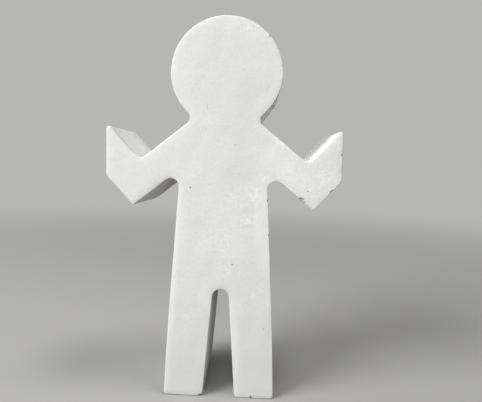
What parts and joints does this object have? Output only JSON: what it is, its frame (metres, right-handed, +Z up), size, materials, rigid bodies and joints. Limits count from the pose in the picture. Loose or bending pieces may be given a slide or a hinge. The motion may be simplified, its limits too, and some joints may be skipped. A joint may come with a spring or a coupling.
{
  "type": "plaster figurine",
  "caption": "Flat standing plaster figurine of a plain person with a round head and raised hands, a free-standing ornament for a shelf or table.",
  "frame": {"origin": "middle of the figure at the level of the soles, half-way through its depth", "axes": "+Z up along the figure, -Y out of its front face, +X to the figure's own left"},
  "size_m": [0.0676, 0.028, 0.11],
  "materials": {
    "plaster": "matte, fine-grained cast plaster, unglazed"
  },
  "bodies": {
    "root": {"head": "plaster", "torso": "plaster", "left_upper_arm": "plaster", "right_upper_arm": "plaster", "left_forearm": "plaster", "right_forearm": "plaster", "left_leg": "plaster", "right_leg": "plaster"}
  },
  "joints": []
}
